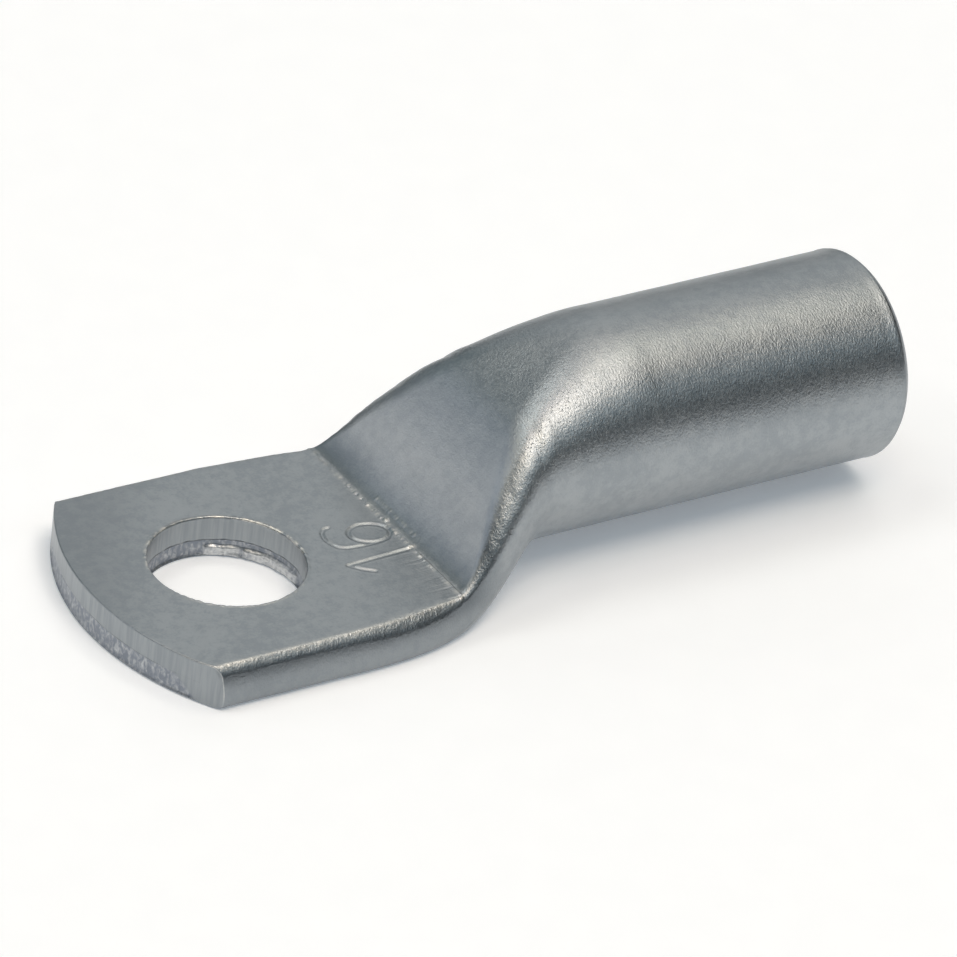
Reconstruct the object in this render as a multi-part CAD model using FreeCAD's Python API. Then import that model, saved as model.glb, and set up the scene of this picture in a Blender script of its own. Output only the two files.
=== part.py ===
import FreeCAD, Part
import math
import os

os.makedirs("parts", exist_ok=True)

# Tubular cable lug: one length of copper tube whose end is pressed flat and punched.
# Millimetres. The stud hole's centre on the underside of the palm is the origin,
# +X runs to the barrel's mouth, +Z is up.

# Tube
tube_diameter = 7.5
tube_wall = 1.0
rim_chamfer = 0.2
bore_chamfer = 0.15

# Palm, the flat end
palm_thickness = 1.6
palm_width = 11.7
hole_diameter = 5.5
hole_to_tip = 5.3
tip_radius = 10.0
seam_gap = 0.08
upper_edge_radius = 0.4
upper_edge_swell = 0.25
lower_edge_radius = 0.3

# Ramp and barrel
hole_to_bend = 6.35
hole_to_mouth = 25.3
barrel_lift = 0.35
ramp_angle = 52.5
ramp_dish = 0.27
shoulder_radius = 8.0

# Lengths over which the flat section turns round, each measured from the bend
narrowing_before = 4.85
narrowing_after = 4.85
rounding_before = 3.7
rounding_after = 4.35
lift_length = 4.1

# How late each change comes within its length: 1 is even, more is later
narrowing_bias = 1.6
underside_bias = 2.9
upside_bias = 0.8

# Sections laid along each stretch
neck_steps = 7
ramp_steps = 13

# Worked out from the sizes above
tube_radius = tube_diameter / 2
bore_radius = tube_radius - tube_wall
barrel_axis = barrel_lift + tube_radius
barrel_top = barrel_lift + tube_diameter
palm_wall = (palm_thickness - seam_gap) / 2
slope = math.tan(math.radians(ramp_angle))
half_turn = math.tan(math.radians(ramp_angle / 2))
narrowing_start = hole_to_bend - narrowing_before
narrowing_end = hole_to_bend + narrowing_after
rounding_start = hole_to_bend - rounding_before
rounding_end = hole_to_bend + rounding_after
lift_end = hole_to_bend + lift_length
round_from = hole_to_bend + (barrel_top - palm_thickness) / slope + shoulder_radius * half_turn
neck_start = min(narrowing_start, rounding_start)
seam_corner = seam_gap / 4

# Aids to the modelling: the shortest flat and turn that a section keeps, how far a cut
# runs past the metal, and how near a place counts as the same
least_flat = 0.03
small_turn = 0.5
overrun = 1.0
closeness = 0.001


def share(x, start, end):
    """How far x lies between start and end, from 0 to 1."""
    return min(max((x - start) / (end - start), 0.0), 1.0)


def ease(t):
    """Turns an even share into one that starts and stops gently."""
    return t * t * (3.0 - 2.0 * t)


def ramp_line(x, bend, low, high, radius, dish):
    """Height of a line that leaves the palm at the bend and turns into the barrel by an arc.

    Its straight climb is hollowed by the dish, which is deepest halfway up.
    """
    meeting = bend + (high - low) / slope
    arc_start = meeting - radius * half_turn * math.cos(math.radians(ramp_angle))
    arc_end = meeting + radius * half_turn
    if x <= bend:
        return low
    if x >= arc_end:
        return high
    along = share(x, bend, arc_start)
    hollow = dish * 4.0 * along * (1.0 - along)
    if x < arc_start:
        return low + slope * (x - bend) - hollow
    return high - radius + math.sqrt(radius ** 2 - (arc_end - x) ** 2)


def outer_sizes(x):
    """Bottom, top, width, lower and upper corner radius of the tube's outside at x."""
    bottom = barrel_lift * ease(share(x, hole_to_bend, lift_end))
    top = ramp_line(x, hole_to_bend, palm_thickness, barrel_top, shoulder_radius, ramp_dish)
    narrowing = ease(share(x, narrowing_start, narrowing_end) ** narrowing_bias)
    width = palm_width - (palm_width - tube_diameter) * narrowing
    lower = ease(share(x, rounding_start, rounding_end) ** underside_bias)
    upper = ease(share(x, hole_to_bend, round_from) ** upside_bias)
    most = width / 2.0 - least_flat
    lower_radius = min(lower_edge_radius + (tube_radius - lower_edge_radius) * lower, most)
    swell = upper_edge_swell * math.sin(math.pi * share(x, narrowing_start, hole_to_bend)) ** 2
    upper_radius = min(upper_edge_radius + swell + (tube_radius - upper_edge_radius) * upper, most)
    return bottom, top, width, lower_radius, min(upper_radius, top - bottom - lower_radius - least_flat)


def wall_at(x):
    """Wall thickness at x: pressed a little thinner in the palm than in the barrel."""
    return palm_wall + (tube_wall - palm_wall) * ease(share(x, hole_to_bend, round_from))


def inner_bend():
    """Where the two walls part under the bend."""
    return hole_to_bend + palm_wall * half_turn


def inner_sizes(x):
    """Bottom, top, width, lower and upper corner radius of the tube's inside at x."""
    wall = wall_at(x)
    bottom, top, width, lower_radius, upper_radius = outer_sizes(x)
    low = palm_wall + seam_gap
    high = barrel_axis + bore_radius
    inside_bottom = bottom + wall
    inside_top = ramp_line(x, inner_bend(), low, high, shoulder_radius - tube_wall, ramp_dish)
    height = inside_top - inside_bottom
    inside_lower = max(lower_radius - wall, seam_corner)
    inside_upper = max(upper_radius - wall, seam_corner)
    fit = min(1.0, (height - seam_corner) / (inside_lower + inside_upper))
    return inside_bottom, inside_top, width - 2.0 * wall, inside_lower * fit, inside_upper * fit


def corner(x, y, z, radius, start, end):
    """Quarter-round edge in the plane across the tube, angles in degrees from +Y."""
    points = []
    for angle in (start, (start + end) / 2.0, end):
        turn = math.radians(angle)
        points.append(FreeCAD.Vector(x, y + radius * math.cos(turn), z + radius * math.sin(turn)))
    return Part.Arc(*points).toShape()


def squashed_section(x, bottom, top, width, lower_radius, upper_radius):
    """Closed outline of a squashed tube at x: four flats and four round corners."""
    lower_y = width / 2.0 - lower_radius
    upper_y = width / 2.0 - upper_radius
    lower_z = bottom + lower_radius
    upper_z = top - upper_radius
    half = width / 2.0

    def flat(y_from, z_from, y_to, z_to):
        start = FreeCAD.Vector(x, y_from, z_from)
        end = FreeCAD.Vector(x, y_to, z_to)
        return Part.LineSegment(start, end).toShape()

    edges = [
        flat(-lower_y, bottom, lower_y, bottom),
        corner(x, lower_y, lower_z, lower_radius, -90.0, 0.0),
        flat(half, lower_z, half, upper_z),
        corner(x, upper_y, upper_z, upper_radius, 0.0, 90.0),
        flat(upper_y, top, -upper_y, top),
        corner(x, -upper_y, upper_z, upper_radius, 90.0, 180.0),
        flat(-half, upper_z, -half, lower_z),
        corner(x, -lower_y, lower_z, lower_radius, 180.0, 270.0),
    ]
    return Part.Wire(edges)


def round_section(x, radius):
    """The full circle at x, parted like a squashed section so that the two loft together."""
    edges = []
    for middle in (-90.0, 0.0, 90.0, 180.0):
        start = middle - small_turn
        end = middle + small_turn
        edges.append(corner(x, 0.0, barrel_axis, radius, start, end))
        edges.append(corner(x, 0.0, barrel_axis, radius, end, start + 90.0))
    return Part.Wire(edges)


def stations(start, end, steps):
    """Evenly spaced places from start to end."""
    return [start + (end - start) * i / steps for i in range(steps + 1)]


def bar(section, start, end):
    """Straight bar of one section between two places."""
    return Part.Face(section).extrude(FreeCAD.Vector(end - start, 0.0, 0.0))


def rod(x, z, radius, length, direction):
    """Plain cylinder that starts at (x, 0, z)."""
    return Part.makeCylinder(radius, length, FreeCAD.Vector(x, 0.0, z), direction)


def tip_blank():
    """Upright disc whose edge gives the palm's rounded front."""
    centre = tip_radius - hole_to_tip
    height = palm_thickness + 2.0 * overrun
    return rod(centre, -overrun, tip_radius, height, FreeCAD.Vector(0, 0, 1))


def outside():
    """Solid bounded by the outside of the tube."""
    front = -hole_to_tip - overrun
    palm = bar(squashed_section(front, *outer_sizes(front)), front, neck_start)
    palm = palm.common(tip_blank())
    neck = Part.makeLoft(
        [squashed_section(x, *outer_sizes(x)) for x in stations(neck_start, hole_to_bend, neck_steps)],
        True,
        False,
    )
    places = stations(hole_to_bend, round_from, ramp_steps)
    sections = [squashed_section(x, *outer_sizes(x)) for x in places[:-1]]
    sections.append(round_section(round_from, tube_radius))
    ramp = Part.makeLoft(sections, True, False)
    barrel = rod(round_from, barrel_axis, tube_radius, hole_to_mouth - round_from, FreeCAD.Vector(1, 0, 0))
    rim = [edge for edge in barrel.Edges if edge.BoundBox.XMin > hole_to_mouth - closeness]
    barrel = barrel.makeChamfer(rim_chamfer, rim)
    return palm.fuse([neck, ramp, barrel])


def mouth_flare():
    """The bore's chamfer at the mouth, which leads the wire in."""
    length = bore_chamfer + overrun
    start = FreeCAD.Vector(hole_to_mouth - bore_chamfer, 0.0, barrel_axis)
    return Part.makeCone(bore_radius, bore_radius + length, length, start, FreeCAD.Vector(1, 0, 0))


def inside():
    """The tube's hollow: the wire's bore, its taper and the seam between the pressed walls."""
    front = -hole_to_tip - overrun
    parting = inner_bend()
    seam = bar(squashed_section(front, *inner_sizes(front)), front, neck_start)
    neck = Part.makeLoft(
        [squashed_section(x, *inner_sizes(x)) for x in stations(neck_start, parting, neck_steps)],
        True,
        False,
    )
    places = stations(parting, round_from, ramp_steps)
    sections = [squashed_section(x, *inner_sizes(x)) for x in places[:-1]]
    sections.append(round_section(round_from, bore_radius))
    taper = Part.makeLoft(sections, True, False)
    length = hole_to_mouth - round_from + overrun
    bore = rod(round_from, barrel_axis, bore_radius, length, FreeCAD.Vector(1, 0, 0))
    return seam.fuse([neck, taper, bore, mouth_flare()])


def cable_lug():
    """The whole lug, with the stud hole punched through both walls of the palm."""
    stud_hole = rod(0.0, -overrun, hole_diameter / 2, palm_thickness + 2 * overrun, FreeCAD.Vector(0, 0, 1))
    return outside().cut(inside()).cut(stud_hole).removeSplitter()


lug = cable_lug()
print("solids", len(lug.Solids), "valid", lug.isValid(), "volume", round(lug.Volume, 1))
lug.exportStep("parts/cable_lug.step")
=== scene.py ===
import logging
import math
from dataclasses import dataclass, field
from enum import Enum

import bmesh
import bpy
import numpy as np
from mathutils import Matrix, Vector, noise


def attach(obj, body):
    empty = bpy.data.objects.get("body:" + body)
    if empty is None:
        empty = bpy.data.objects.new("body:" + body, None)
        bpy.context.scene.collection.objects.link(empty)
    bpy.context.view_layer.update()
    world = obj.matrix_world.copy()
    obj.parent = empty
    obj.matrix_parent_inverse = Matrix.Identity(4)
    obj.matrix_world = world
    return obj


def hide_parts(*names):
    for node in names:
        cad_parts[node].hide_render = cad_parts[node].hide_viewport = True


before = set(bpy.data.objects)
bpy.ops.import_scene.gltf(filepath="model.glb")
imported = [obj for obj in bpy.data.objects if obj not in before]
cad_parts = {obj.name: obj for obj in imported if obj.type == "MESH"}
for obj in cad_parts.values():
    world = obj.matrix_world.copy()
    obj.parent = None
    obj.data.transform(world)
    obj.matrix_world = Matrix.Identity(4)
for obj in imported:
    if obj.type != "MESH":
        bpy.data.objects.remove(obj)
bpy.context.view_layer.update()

Array = np.ndarray
Pairs = tuple[tuple[float, float], ...]
Rgba = tuple[float, float, float, float]

LOG = logging.getLogger("cable_lug")

# A millimetre in metres
MM = 0.001
# Further than any stroke or rounded edge reaches, in millimetres
FAR = 9.0
# Makes t * (1 - t) ** 2 reach 1 where it is highest
PEAK = 6.75


class Finish(Enum):
    """Which finish a face of the lug wears, as the number of its material."""

    SKIN = 0
    SHEARED = 1
    BORE = 2


# Laws of change along a length


def share(x: Array, start: float, end: float) -> Array:
    """How far x lies between start and end, from 0 to 1."""
    return np.clip((np.asarray(x, float) - start) / (end - start), 0.0, 1.0)


def ease(t: Array) -> Array:
    """An even share made to start and stop gently."""
    return t * t * (3.0 - 2.0 * t)


def between(x: Array, start: float, end: float) -> Array:
    """The eased share of x between start and end."""
    return ease(share(x, start, end))


def bump(x: Array, middle: float, reach: float) -> Array:
    """A soft hump of height 1 at middle that dies out a few reaches away."""
    return np.exp(-(((np.asarray(x, float) - middle) / reach) ** 2))


def column(values: float | Array) -> Array:
    """Values one below the other, for a grid with a row for each."""
    return np.reshape(values, (-1, 1))


def through(x: Array, stops: Pairs) -> Array:
    """A smooth line through a few stops that never overshoots them.

    Args:
        x: Places.
        stops: Pairs of place and value, in order.

    Returns:
        The line's value at each place.
    """
    places, values = np.array(stops, float).T
    x = np.clip(np.asarray(x, float), places[0], places[-1])
    gaps = np.diff(places)
    rises = np.diff(values) / gaps
    same = rises[1:] * rises[:-1] > 0
    mean = np.where(same, 2.0 * rises[1:] * rises[:-1] / np.where(same, rises[1:] + rises[:-1], 1.0), 0.0)
    lean = np.concatenate([[rises[0]], mean, [rises[-1]]])
    i = np.clip(np.searchsorted(places, x) - 1, 0, len(gaps) - 1)
    t = (x - places[i]) / gaps[i]
    start = (1 + 2 * t) * (1 - t) ** 2 * values[i] + t * (1 - t) ** 2 * gaps[i] * lean[i]
    return start + t * t * (3 - 2 * t) * values[i + 1] - t * t * (1 - t) * gaps[i] * lean[i + 1]


class Pattern(Enum):
    """Random fields in the surface, each a sum of layers.

    A layer is its ripples per millimetre along X, Y and Z, its seed and its strength.
    """

    WAVES = ((0.8, 0.8, 0.8, 90.0, 0.006),)
    LIP = ((3.0, 3.0, 3.0, 66.0, 0.008),)
    TICKS = ((1.5, 8.0, 0.5, 3.1, 1.0), (3.0, 14.0, 1.0, 8.7, 0.5))
    SCRATCHES = ((0.7, 13.0, 1.0, 21.0, 0.008),)
    BURR = ((6.5, 6.5, 0.0, 61.0, 0.030),)
    EDGE = ((3.2, 3.2, 3.2, 40.0, 0.009), (7.5, 7.5, 7.5, 55.0, 0.007))
    WRINKLES = ((1.6, 6.0, 1.0, 70.0, 0.020),)
    TEAR_LINE = ((4.0, 4.0, 0.0, 17.0, 0.012),)
    SCALLOPS = ((2.4, 2.4, 0.0, 12.0, 0.06), (7.0, 7.0, 0.0, 14.0, 0.02))
    KNOBS = ((3.2, 3.2, 3.6, 30.0, 1.0), (7.5, 7.5, 8.0, 33.0, 0.6))
    TORN_GRAIN = ((11.0, 11.0, 11.0, 44.0, 1.0),)
    SEAM = ((0.7, 0.7, 0.0, 5.0, 0.035),)
    WEAR_AND_HIGHLIGHT = ((6.0, 6.0, 6.0, 25.0, 1.0), (13.0, 13.0, 13.0, 27.0, 0.6))
    WEAR_AND_HIGHLIGHT_TICKS = ((1.0, 12.0, 0.5, 3.1, 1.0), (2.0, 17.0, 1.0, 8.7, 0.5))

    def read(self, points: Array) -> Array:
        """The field at points; a layer of strength 1 runs from about -1 to 1.

        Args:
            points: Places in millimetres, one a row.

        Returns:
            One value a point.
        """
        total = np.zeros(len(points))
        for *scale, seed, strength in self.value:
            spread = points * np.array(scale) + seed
            total += strength * np.array([noise.noise(Vector(p)) for p in spread])
        return total


# Form of the lug


@dataclass(frozen=True)
class Section:
    """Sizes of a squashed tube's cross-section, one value for each place along the lug."""

    bottom: Array
    top: Array
    width: Array
    lower: Array
    upper: Array
    tuck: float | Array = 0.0
    tuck_depth: float = 1.3

    def runs(self) -> list[Array]:
        """Parts of half the outline.

        Returns:
            Lengths of the top flat, upper corner, side, lower corner and bottom flat.
        """
        return [
            self.width / 2 - self.upper,
            self.upper * math.pi / 2,
            self.top - self.bottom - self.upper - self.lower,
            self.lower * math.pi / 2,
            self.width / 2 - self.lower,
        ]

    def outline(self, way: Array) -> tuple[Array, Array, Array, Array]:
        """Points of the half outline, from the middle of the top to the middle of the bottom.

        Args:
            way: Share of the half outline's length, one row for each place.

        Returns:
            Y, Z and the outward direction's Y and Z.
        """
        a, b, c, d, e = (column(run) for run in self.runs())
        upper, lower, top = column(self.upper), column(self.lower), column(self.top)
        p = way * (a + b + c + d + e)
        turn = np.clip(p - a, 0, b) / upper
        fold = np.clip(p - a - b - c, 0, d) / lower
        y = np.clip(p, 0, a) + upper * np.sin(turn) - lower * (1 - np.cos(fold))
        y = y - np.clip(p - a - b - c - d, 0, e)
        z = top - upper * (1 - np.cos(turn))
        z = z - np.clip(p - a - b, 0, c) - lower * np.sin(fold)
        lean = np.clip(1 - (top - z) / self.tuck_depth, 0, 1) ** 2
        y = y * (1 - 2 * column(self.tuck) * lean / column(self.width))
        return y, z, np.sin(turn) * np.cos(fold), np.cos(turn) - np.sin(fold)


@dataclass
class LugForm:
    """Sizes of the lug in millimetres, from the stud hole's centre under the palm."""

    tube_diameter: float = 7.5
    tube_wall: float = 1.0
    palm_thickness: float = 1.6
    palm_width: float = 11.7
    hole_radius: float = 2.75
    hole_to_tip: float = 5.3
    tip_radius: float = 10.0
    seam_gap: float = 0.012
    hole_to_bend: float = 6.35
    hole_to_mouth: float = 25.3
    barrel_lift: float = 0.35
    ramp_angle: float = 52.5
    ramp_dish: float = 0.27
    shoulder_radius: float = 8.0
    narrowing_before: float = 4.85
    narrowing_after: float = 4.85
    narrowing_bias: float = 1.6
    rounding_before: float = 3.7
    rounding_after: float = 4.35
    underside_bias: float = 2.62
    lift_length: float = 4.1
    lower_edge: float = 0.3
    side_tuck: float = 0.12
    tuck_end: float = 9.5
    tuck_full: float = 7.2
    bend_softness: float = 0.09
    # Swells of the ramp: how far each lies beyond the bend, its rise and its reach
    swells: tuple[tuple[float, float, float], ...] = ((1.65, 0.10, 0.6), (3.3, 0.12, 1.0))
    # Radius of the upper corners at places along the lug
    upper_stops: Pairs = (
        (-6.0, 0.36), (1.5, 0.40), (3.9, 0.52), (5.9, 0.38), (6.35, 0.26), (7.0, 0.42), (7.6, 0.84), (7.9, 1.10),
        (8.2, 1.34), (8.6, 1.63), (9.1, 1.91), (9.9, 2.30), (11.5, 3.08), (13.3, 3.55), (15.09, 3.75),
    )

    @property
    def tube_radius(self) -> float:
        """Outside radius of the barrel."""
        return self.tube_diameter / 2

    @property
    def bore_radius(self) -> float:
        """Radius of the wire's bore."""
        return self.tube_radius - self.tube_wall

    @property
    def axis(self) -> float:
        """Height of the barrel's axis."""
        return self.barrel_lift + self.tube_radius

    @property
    def middle(self) -> float:
        """Height of the seam between the palm's two walls."""
        return self.palm_thickness / 2

    @property
    def palm_wall(self) -> float:
        """Thickness of each wall pressed flat in the palm."""
        return (self.palm_thickness - self.seam_gap) / 2

    @property
    def slope(self) -> float:
        """Rise of the ramp per millimetre."""
        return math.tan(math.radians(self.ramp_angle))

    @property
    def half_turn(self) -> float:
        """Tangent of half the ramp's angle."""
        return math.tan(math.radians(self.ramp_angle / 2))

    @property
    def round_from(self) -> float:
        """Where the squashed tube has become fully round."""
        rise = self.barrel_lift + self.tube_diameter - self.palm_thickness
        return self.hole_to_bend + rise / self.slope + self.shoulder_radius * self.half_turn

    @property
    def tip_centre(self) -> float:
        """Where the palm's rounded tip has its centre."""
        return self.tip_radius - self.hole_to_tip

    def tip_x(self, y: Array) -> Array:
        """X of the palm's tip at y."""
        return self.tip_centre - np.sqrt(self.tip_radius**2 - np.asarray(y, float) ** 2)

    def ramp_line(self, x: Array, bend: float, low: float, high: float, radius: float) -> Array:
        """Height of a line that leaves the palm at the bend and turns into the barrel by an arc.

        Args:
            x: Places along the lug.
            bend: Where the line leaves the palm.
            low: Its height on the palm.
            high: Its height on the barrel.
            radius: The arc's radius at the shoulder.

        Returns:
            The height at each place.
        """
        meeting = bend + (high - low) / self.slope
        arc_start = meeting - radius * self.half_turn * math.cos(math.radians(self.ramp_angle))
        arc_end = meeting + radius * self.half_turn
        along = share(x, bend, arc_start)
        off = x - bend
        soft = (off + np.sqrt(off**2 + self.bend_softness**2)) / 2
        line = low + self.slope * soft - self.ramp_dish * PEAK * along * (1.0 - along) ** 2
        arc = high - radius + np.sqrt(np.maximum(radius**2 - np.clip(arc_end - x, 0, None) ** 2, 0.0))
        swell = sum(rise * bump(x, bend + beyond, reach) for beyond, rise, reach in self.swells)
        return np.where(x < arc_start, line, np.where(x < arc_end, arc, high)) + swell

    def turned(self, x: Array, before: float, after: float, bias: float) -> Array:
        """Share of a change that runs past the bend, and comes late by its bias.

        Args:
            x: Places along the lug.
            before: How far before the bend it starts.
            after: How far after the bend it ends.
            bias: How late it comes, 1 for evenly.

        Returns:
            The eased share at each place.
        """
        return ease(share(x, self.hole_to_bend - before, self.hole_to_bend + after) ** bias)

    def outside(self, x: Array) -> Section:
        """The tube's outside.

        Args:
            x: Places along the lug.

        Returns:
            The cross-section at each place.
        """
        x = np.atleast_1d(np.asarray(x, float))
        high = self.barrel_lift + self.tube_diameter
        bottom = self.barrel_lift * between(x, self.hole_to_bend, self.hole_to_bend + self.lift_length)
        top = self.ramp_line(x, self.hole_to_bend, self.palm_thickness, high, self.shoulder_radius)
        narrow = self.turned(x, self.narrowing_before, self.narrowing_after, self.narrowing_bias)
        width = self.palm_width - (self.palm_width - self.tube_diameter) * narrow
        rounding = self.turned(x, self.rounding_before, self.rounding_after, self.underside_bias)
        lower = self.lower_edge + (self.tube_radius - self.lower_edge) * rounding
        lower = np.minimum(lower, width / 2)
        upper = np.minimum(through(x, self.upper_stops), np.minimum(width / 2, top - bottom - lower))
        tuck = self.side_tuck * between(x, self.tuck_end, self.tuck_full)
        return Section(bottom, top, width, lower, upper, tuck)

    def inside(self, x: Array) -> Section:
        """The tube's hollow: the seam in the palm, the taper and the bore.

        Args:
            x: Places along the lug.

        Returns:
            The cross-section at each place.
        """
        x = np.atleast_1d(np.asarray(x, float))
        out = self.outside(x)
        thicker = self.tube_wall - self.palm_wall
        wall = self.palm_wall + thicker * between(x, self.hole_to_bend, self.round_from)
        bottom = out.bottom + wall
        parting = self.hole_to_bend + self.palm_wall * self.half_turn
        low, high = self.palm_wall + self.seam_gap, self.axis + self.bore_radius
        top = self.ramp_line(x, parting, low, high, self.shoulder_radius - self.tube_wall)
        least = self.seam_gap / 4
        lower = np.maximum(out.lower - wall, least)
        upper = np.maximum(out.upper - wall, least)
        fit = np.minimum(1.0, (top - bottom) / (lower + upper))
        return Section(bottom, top, out.width - 2 * wall, lower * fit, upper * fit)


# Stamped size number


@dataclass
class Stamp:
    """The conductor size, 16, stamped in thin strokes between the hole and the bend."""

    half_stroke: float = 0.095
    wall: float = 0.06
    depth: float = 0.038
    lip: float = 0.012
    lip_reach: float = 0.05
    one: Pairs = ((3.72, -1.84), (5.1, -1.79), (6.34, -1.74))
    flag: Pairs = ((3.72, -1.84), (4.02, -2.20), (4.42, -2.50))
    tail: Pairs = (
        (4.30, 0.46), (4.08, 0.42), (3.92, 0.27), (3.83, 0.03), (3.82, -0.25), (3.88, -0.53), (4.00, -0.75),
        (4.22, -0.88), (4.52, -0.93), (4.86, -0.97), (5.30, -0.96), (5.70, -0.92),
    )
    loop_centre: tuple[float, float] = (5.44, -0.36)
    loop_halves: tuple[float, float] = (0.74, 0.56)
    loop_lean: float = -14.0
    loop_steps: int = 24

    def strokes(self) -> list[Array]:
        """Centre lines of the strokes.

        Returns:
            The lines, each with a row for a point on the palm.
        """
        turns = np.linspace(0.0, 2 * math.pi, self.loop_steps + 1)
        u, v = self.loop_halves[0] * np.cos(turns), self.loop_halves[1] * np.sin(turns)
        along, across = math.cos(math.radians(self.loop_lean)), math.sin(math.radians(self.loop_lean))
        loop = np.stack([u * along - v * across, u * across + v * along], axis=-1) + self.loop_centre
        return [np.array(self.one), np.array(self.flag), loop, np.array(self.tail)]

    def relief(self, points: Array) -> Array:
        """How far the surface is raised at each point, below 0 in a stroke.

        Args:
            points: Places in millimetres, one a row.

        Returns:
            The change of height.
        """
        near = np.full(len(points), FAR)
        for line in self.strokes():
            for a, b in zip(line[:-1], line[1:]):
                run = b - a
                t = np.clip(((points[:, :2] - a) @ run) / (run @ run), 0, 1)
                near = np.minimum(near, np.linalg.norm(points[:, :2] - a - t[:, None] * run, axis=1))
        cut = ease(np.clip((self.half_stroke - near) / self.wall, 0, 1))
        raised = bump(near, self.half_stroke + self.lip_reach / 2, self.lip_reach)
        return self.lip * raised * (1 - cut) - self.depth * cut


# Mesh of the lug


@dataclass
class Shell:
    """Half of one skin of the lug, outside or inside, as grids of points that meet edge to edge.

    The half on the +Y side is laid out; the other half mirrors it.
    """

    form: LugForm
    hollow: bool
    # Where the palm's own grids start, and a place where its sides run level
    join: float = 3.05
    level: float = -3.0
    edge_round: float = 0.05
    edge_lines: int = 12
    side_lines: int = 6
    under_lines: int = 10
    bottom_lines: int = 22
    tip_lines: int = 52
    # The lines of the top flat lie close together where the number is stamped
    fine_reach: float = 2.85
    fine_pitch: float = 0.056
    coarse_lines: int = 20
    side_pitch: float = 0.15
    # The lines spread evenly where the tube turns round
    even_from: float = 7.2
    even_full: float = 12.8
    near_edge: tuple[float, ...] = (0.0, 0.012, 0.03, 0.05, 0.08, 0.12, 0.17)

    @property
    def finish(self) -> Finish:
        """What this skin wears."""
        return Finish.BORE if self.hollow else Finish.SKIN

    def sizes(self, x: Array) -> Section:
        """This skin's cross-section at x."""
        return self.form.inside(x) if self.hollow else self.form.outside(x)

    def stations(self) -> Array:
        """Places along the tube behind the palm, closest where the form changes most.

        Returns:
            The places, in order.
        """
        mouth, round_from = self.form.hole_to_mouth, self.form.round_from
        # Each stretch from its start to its end, with the number of its places or their pitch
        if self.hollow:
            parts = [
                np.linspace(self.join, 6.3, 5),
                np.linspace(6.5, 8.2, 9),
                np.linspace(8.6, round_from, 14),
                np.linspace(17.0, mouth - 0.12, 5),
            ]
        else:
            parts = [
                np.linspace(self.join, 3.5, 7),
                np.arange(3.55, 6.18, 0.05),
                np.arange(6.20, 6.75, 0.035),
                np.arange(6.76, 10.0, 0.07),
                np.linspace(10.0, round_from, 40),
                np.linspace(round_from, mouth - 0.42, 27)[1:],
                mouth - np.array([0.30, 0.235]),
            ]
        return np.concatenate(parts)

    def lines(self) -> tuple[Array, Array]:
        """The lengthwise lines, from the middle of the top to the middle of the bottom.

        Returns:
            Run of the half outline, and share of that run, for each line.
        """
        reach = float(self.form.outside(self.join).runs()[0][0])
        fine = np.arange(0, self.fine_reach, self.fine_pitch)
        top = np.concatenate([fine, np.linspace(self.fine_reach, reach, self.coarse_lines)]) / reach
        counts = (self.edge_lines, self.side_lines, self.under_lines, self.bottom_lines)
        runs = [np.zeros(len(top))] + [np.full(count, i + 1) for i, count in enumerate(counts)]
        parts = [top] + [np.arange(1, count + 1) / count for count in counts]
        return np.concatenate(runs).astype(int), np.concatenate(parts)

    def way(self, x: Array) -> Array:
        """Share of the half outline at which each line lies.

        Args:
            x: Places along the lug.

        Returns:
            The shares, one row for each place.
        """
        run, part = self.lines()
        lengths = np.stack(self.sizes(x).runs(), axis=1)
        starts = np.concatenate([np.zeros((len(lengths), 1)), np.cumsum(lengths, axis=1)], axis=1)
        pressed = (starts[:, run] + part * lengths[:, run]) / starts[:, -1:]
        blend = column(between(x, self.even_from, self.even_full))
        return pressed * (1 - blend) + np.linspace(0, 1, len(run)) * blend

    def edge_drop(self, distance: Array) -> Array:
        """How far a rounded edge falls away at a distance from the face it meets."""
        off = np.clip(self.edge_round - distance, 0, self.edge_round)
        return self.edge_round - np.sqrt(self.edge_round**2 - off**2)

    def at(self, x: Array, way: Array) -> Array:
        """Points of the skin, with the edge at the sheared tip rounded.

        Args:
            x: Place of each row.
            way: Share of the half outline, one row for each place.

        Returns:
            Points, as rows by lines by 3.
        """
        y, z, out_y, out_z = self.sizes(x).outline(way)
        where = np.broadcast_to(column(x), y.shape)
        if not self.hollow:
            reach = self.form.tip_radius - np.hypot(where - self.form.tip_centre, y)
            drop = np.where(where < 0, self.edge_drop(reach), 0.0)
            y, z = y - out_y * drop, z - out_z * drop
        return np.stack([where, y, z], axis=-1)

    def tube(self) -> Array:
        """Grid of the tube behind the palm: one row for each station."""
        stations = self.stations()
        return self.at(stations, self.way(stations))

    def side_places(self) -> Array:
        """Places along the palm's side, from the join to the tip's corner.

        Returns:
            The places, in order.
        """
        corner = float(self.form.tip_x(self.form.outside(self.level).runs()[0][0]))
        last = corner + np.array(self.near_edge[::-1])
        count = int((self.join - last[0]) / self.side_pitch)
        return np.concatenate([np.linspace(self.join, last[0], count), last[1:]])

    def sides(self) -> Array:
        """Grid of the palm's rounded side.

        Returns:
            Points, one row for each place, the last row on the tip's arc.
        """
        places = self.side_places()
        run, _ = self.lines()
        kept = range(int(np.sum(run == 0)) - 1, len(run) - self.bottom_lines)
        level = np.full(1, self.level)
        level_y = self.sizes(level).outline(self.way(level))[0][0, kept.start : kept.stop]
        target = self.form.tip_x(level_y) - places[-1]
        blend = between(places, 0.0, places[-1] + self.near_edge[-1])
        grid = []
        for place, amount in zip(places, blend):
            x = [np.array([xx]) for xx in place + target * amount]
            row = [self.at(xx, self.way(xx)[:, j : j + 1])[0] for j, xx in zip(kept, x)]
            grid.append(np.concatenate(row))
        return np.array(grid)

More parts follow.
